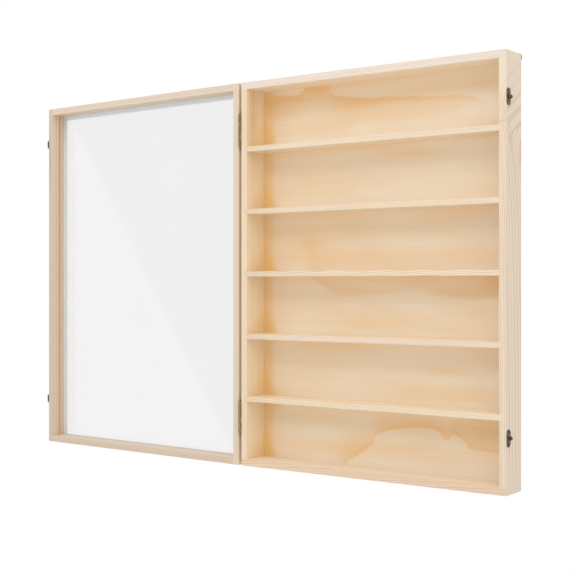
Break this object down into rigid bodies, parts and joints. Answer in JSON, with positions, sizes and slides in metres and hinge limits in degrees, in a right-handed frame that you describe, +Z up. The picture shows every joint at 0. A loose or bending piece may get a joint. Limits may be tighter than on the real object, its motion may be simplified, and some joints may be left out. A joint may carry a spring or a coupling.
{
  "type": "wall display cabinet",
  "caption": "Shallow wooden wall case with shelves and a deep framed door with a clear pane, hinged at the left, shown open flat against the wall",
  "frame": {"origin": "the middle of the case's back, on the plane of the wall that it hangs on", "axes": "+X to the right as seen from the front, +Y into the wall, +Z up; the front faces -Y"},
  "size_m": [0.9131, 0.0536, 0.6018],
  "materials": {
    "case_pine": "sanded pale pine, thin matt varnish",
    "shelf_pine": "sanded pale pine, thin matt varnish",
    "back_plywood": "rotary-cut pine plywood, sanded",
    "door_pine": "sanded pale pine, thin matt varnish",
    "clear_sheet": "clear polished acrylic",
    "hinge_brass": "antiqued, satin",
    "latch_bronze": "dark antiqued, satin",
    "hanger_steel": "dark plated",
    "brad_steel": "bright wire"
  },
  "bodies": {
    "case": {"case_top_board": "case_pine", "case_bottom_board": "case_pine", "case_left_side": "case_pine", "case_right_side": "case_pine", "shelf_1": "shelf_pine", "shelf_2": "shelf_pine", "shelf_3": "shelf_pine", "shelf_4": "shelf_pine", "shelf_5": "shelf_pine", "back_panel": "back_plywood", "upper_hinge_case_leaf": "hinge_brass", "upper_hinge_pin": "hinge_brass", "lower_hinge_case_leaf": "hinge_brass", "lower_hinge_pin": "hinge_brass", "hinge_case_screws": "hinge_brass", "upper_catch_plate": "latch_bronze", "lower_catch_plate": "latch_bronze", "catch_screws": "latch_bronze", "left_hanger_strap": "hanger_steel", "right_hanger_strap": "hanger_steel", "hanger_screws": "hanger_steel", "case_corner_brads": "brad_steel", "back_panel_brads": "brad_steel"},
    "door": {"door_latch_stile": "door_pine", "door_hinge_stile": "door_pine", "door_top_rail": "door_pine", "door_bottom_rail": "door_pine", "door_pane": "clear_sheet", "door_corner_brads": "brad_steel", "hinge_door_screws": "hinge_brass", "latch_plate_screws": "latch_bronze", "upper_hinge_door_leaf": "hinge_brass", "lower_hinge_door_leaf": "hinge_brass", "upper_latch_plate": "latch_bronze", "upper_latch_pin": "latch_bronze", "lower_latch_plate": "latch_bronze", "lower_latch_pin": "latch_bronze"},
    "upper_tongue": {"upper_latch_tongue": "latch_bronze"},
    "lower_tongue": {"lower_latch_tongue": "latch_bronze"},
    "left_ring": {"left_hanger_ring": "hanger_steel"},
    "right_ring": {"right_hanger_ring": "hanger_steel"}
  },
  "joints": [
    {"name": "door_hinge", "type": "hinge", "parent": "case", "child": "door", "pos_m": [-0.22775, -0.04825, 0], "axis": [0, 0, 1], "range_deg": [0, 182.2]},
    {"name": "upper_latch", "type": "hinge", "parent": "door", "child": "upper_tongue", "pos_m": [-0.68212, -0.02964, 0.2365], "axis": [0, 0, 1], "range_deg": [0, 178]},
    {"name": "lower_latch", "type": "hinge", "parent": "door", "child": "lower_tongue", "pos_m": [-0.68212, -0.02964, -0.223], "axis": [0, 0, 1], "range_deg": [0, 178]},
    {"name": "left_ring_swing", "type": "hinge", "parent": "case", "child": "left_ring", "pos_m": [-0.2206, 0.00143, 0.2932], "axis": [-1, 0, 0], "range_deg": [0, 175]},
    {"name": "right_ring_swing", "type": "hinge", "parent": "case", "child": "right_ring", "pos_m": [0.2206, 0.00143, 0.2932], "axis": [-1, 0, 0], "range_deg": [0, 175]}
  ]
}
